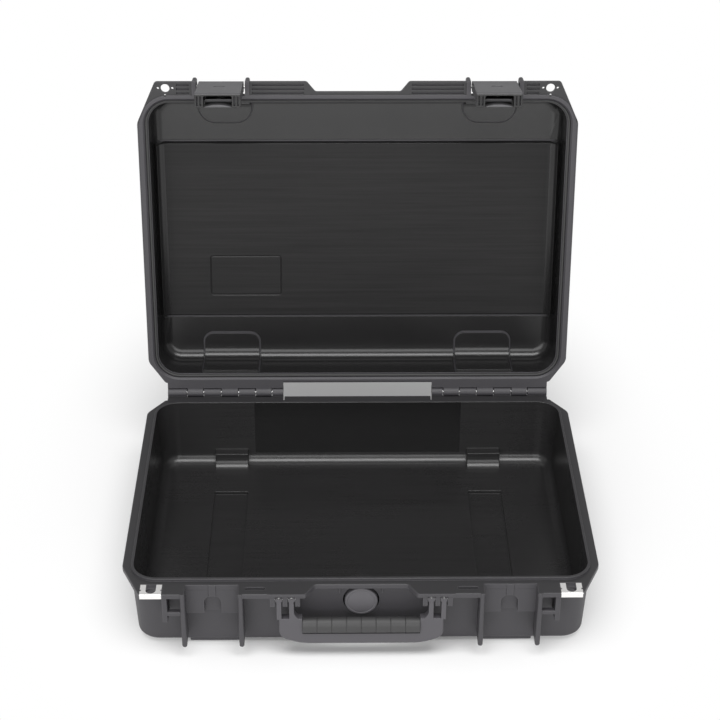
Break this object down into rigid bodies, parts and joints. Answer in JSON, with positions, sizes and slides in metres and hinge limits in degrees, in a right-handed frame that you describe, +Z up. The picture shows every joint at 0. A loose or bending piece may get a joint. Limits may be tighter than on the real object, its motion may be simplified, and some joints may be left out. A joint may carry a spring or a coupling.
{
  "type": "protective hard case",
  "caption": "Moulded hard case, open, with hinged lid, trigger latches, folding handle, sealed rim, padlock eyes and pressure vent.",
  "frame": {"origin": "on the floor below the middle of the opened case's box", "axes": "+X to the right, +Y to the back with the hinge, +Z up"},
  "size_m": [0.4936, 0.4756, 0.4702],
  "materials": {
    "shell_plastic": "moulded, fine matte grain",
    "handle_plastic": "moulded, satin",
    "latch_plastic": "moulded, satin",
    "vent_plastic": "moulded, matte",
    "seal_rubber": "soft seal",
    "grip_rubber": "soft, matte",
    "membrane_film": "thin film",
    "steel": "bright, stamped"
  },
  "bodies": {
    "base": {"base_shell": "shell_plastic", "vent_body": "vent_plastic", "vent_oring": "seal_rubber", "vent_nut": "vent_plastic", "vent_membrane": "membrane_film", "vent_cap": "vent_plastic", "padlock_plate_left": "steel", "padlock_plate_right": "steel", "hinge_pin_left": "steel", "hinge_pin_right": "steel", "handle_pin_left": "steel", "handle_pin_right": "steel"},
    "lid": {"lid_shell": "shell_plastic", "lid_gasket": "seal_rubber", "latch_pin_left": "steel", "latch_pin_right": "steel"},
    "handle": {"handle_frame": "handle_plastic", "handle_grip": "grip_rubber"},
    "latch_left": {"latch_lever_left": "latch_plastic", "trigger_pin_left": "steel", "trigger_spring_left": "steel"},
    "trigger_left": {"latch_trigger_left": "latch_plastic"},
    "latch_right": {"latch_lever_right": "latch_plastic", "trigger_pin_right": "steel", "trigger_spring_right": "steel"},
    "trigger_right": {"latch_trigger_right": "latch_plastic"}
  },
  "joints": [
    {"name": "lid_hinge", "type": "hinge", "parent": "base", "child": "lid", "pos_m": [0, 0.14172, 0.0874], "axis": [1, 0, 0], "range_deg": [0, 98]},
    {"name": "handle_swing", "type": "hinge", "parent": "base", "child": "handle", "pos_m": [0, -0.23078, 0.0749], "axis": [-1, 0, 0], "range_deg": [0, 100]},
    {"name": "latch_swing_left", "type": "hinge", "parent": "lid", "child": "latch_left", "pos_m": [-0.1525, 0.20489, 0.45064], "axis": [-1, 0, 0], "range_deg": [-3.5, 100]},
    {"name": "trigger_pull_left", "type": "hinge", "parent": "latch_left", "child": "trigger_left", "pos_m": [-0.1525, 0.17794, 0.45358], "axis": [-1, 0, 0], "range_deg": [0, 10], "stiffness_Nm_per_rad": 0.05, "springref_deg": -17.19, "deforming": ["trigger_spring_left"]},
    {"name": "latch_swing_right", "type": "hinge", "parent": "lid", "child": "latch_right", "pos_m": [0.1525, 0.20489, 0.45064], "axis": [-1, 0, 0], "range_deg": [-3.5, 100]},
    {"name": "trigger_pull_right", "type": "hinge", "parent": "latch_right", "child": "trigger_right", "pos_m": [0.1525, 0.17794, 0.45358], "axis": [-1, 0, 0], "range_deg": [0, 10], "stiffness_Nm_per_rad": 0.05, "springref_deg": -17.19, "deforming": ["trigger_spring_right"]}
  ]
}
